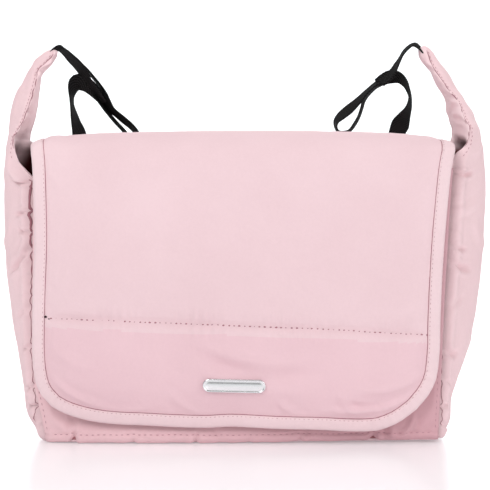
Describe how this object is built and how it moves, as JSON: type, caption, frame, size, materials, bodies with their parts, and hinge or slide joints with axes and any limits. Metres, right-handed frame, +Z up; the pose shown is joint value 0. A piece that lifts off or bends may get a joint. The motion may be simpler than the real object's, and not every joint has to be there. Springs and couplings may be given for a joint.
{
  "type": "changing bag",
  "caption": "Soft padded changing bag with a fold-over flap, raised side wings, a black webbing shoulder strap and webbing loops for hanging it on a stroller.",
  "frame": {"origin": "on the floor, under the middle of the bag's bottom panel", "axes": "+Z up, -Y towards the flap's front, +X to the right seen from the front"},
  "size_m": [0.4379, 0.179, 0.3626],
  "materials": {
    "outer_fabric": "padded soft woven polyester, pale pink, matt with a faint sheen",
    "binding_fabric": "folded fabric binding, pale pink, topstitched",
    "lining_fabric": "thin plain-weave lining, pink",
    "padding": "soft fibre padding, off-white",
    "stiffener": "thin stiff sheet",
    "webbing": "black woven polyester webbing",
    "slider_plastic": "black moulded acetal",
    "snap_metal": "bright plated steel",
    "badge_metal": "bright polished metal"
  },
  "bodies": {
    "bag": {"front_panel": "outer_fabric", "back_panel": "outer_fabric", "bottom_panel": "outer_fabric", "base_board": "stiffener", "left_gusset": "outer_fabric", "right_gusset": "outer_fabric", "lining": "lining_fabric", "bottle_pockets": "lining_fabric", "pocket_elastic": "webbing", "mouth_binding": "binding_fabric", "snap_sockets": "snap_metal", "snap_backings": "snap_metal", "left_tip_tab": "webbing", "right_tip_tab": "webbing"},
    "flap_top": {"flap_top_cover": "outer_fabric", "flap_top_foam": "padding", "flap_top_lining": "lining_fabric", "flap_top_binding": "binding_fabric"},
    "flap_front": {"flap_front_cover": "outer_fabric", "flap_front_foam": "padding", "flap_front_lining": "lining_fabric", "flap_front_binding": "binding_fabric", "flap_badge": "badge_metal", "badge_pins": "badge_metal", "snap_studs": "snap_metal", "snap_stud_backings": "snap_metal"},
    "strap": {"left_wing_web": "webbing", "right_wing_web": "webbing", "left_shoulder_strap": "webbing", "middle_shoulder_strap": "webbing", "right_shoulder_strap": "webbing", "left_joint_patch": "webbing", "right_joint_patch": "webbing"},
    "slider": {"strap_slider": "slider_plastic"},
    "left_loop": {"left_hang_loop": "webbing"},
    "right_loop": {"right_hang_loop": "webbing"}
  },
  "joints": [
    {"name": "flap_back_seam", "type": "hinge", "parent": "bag", "child": "flap_top", "pos_m": [0, 0.05, 0.2635], "axis": [-1, 0, 0], "range_deg": [0, 48]},
    {"name": "flap_front_fold", "type": "hinge", "parent": "flap_top", "child": "flap_front", "pos_m": [0, -0.047, 0.264], "axis": [-1, 0, 0], "range_deg": [0, 105]},
    {"name": "strap_swing", "type": "hinge", "parent": "bag", "child": "strap", "pos_m": [0, 0.046, 0.357], "axis": [1, 0, 0], "range_deg": [0, 170]},
    {"name": "slider_slide", "type": "slide", "parent": "strap", "child": "slider", "axis": [-0.0658, 0, 0.9978], "range_m": [-0.01, 0.01]},
    {"name": "left_loop_swing", "type": "hinge", "parent": "strap", "child": "left_loop", "pos_m": [-0.1425, 0.066, 0.3255], "axis": [0, -1, 0], "range_deg": [0, 50]},
    {"name": "right_loop_swing", "type": "hinge", "parent": "strap", "child": "right_loop", "pos_m": [0.13, 0.066, 0.3285], "axis": [0, 1, 0], "range_deg": [0, 50]}
  ]
}
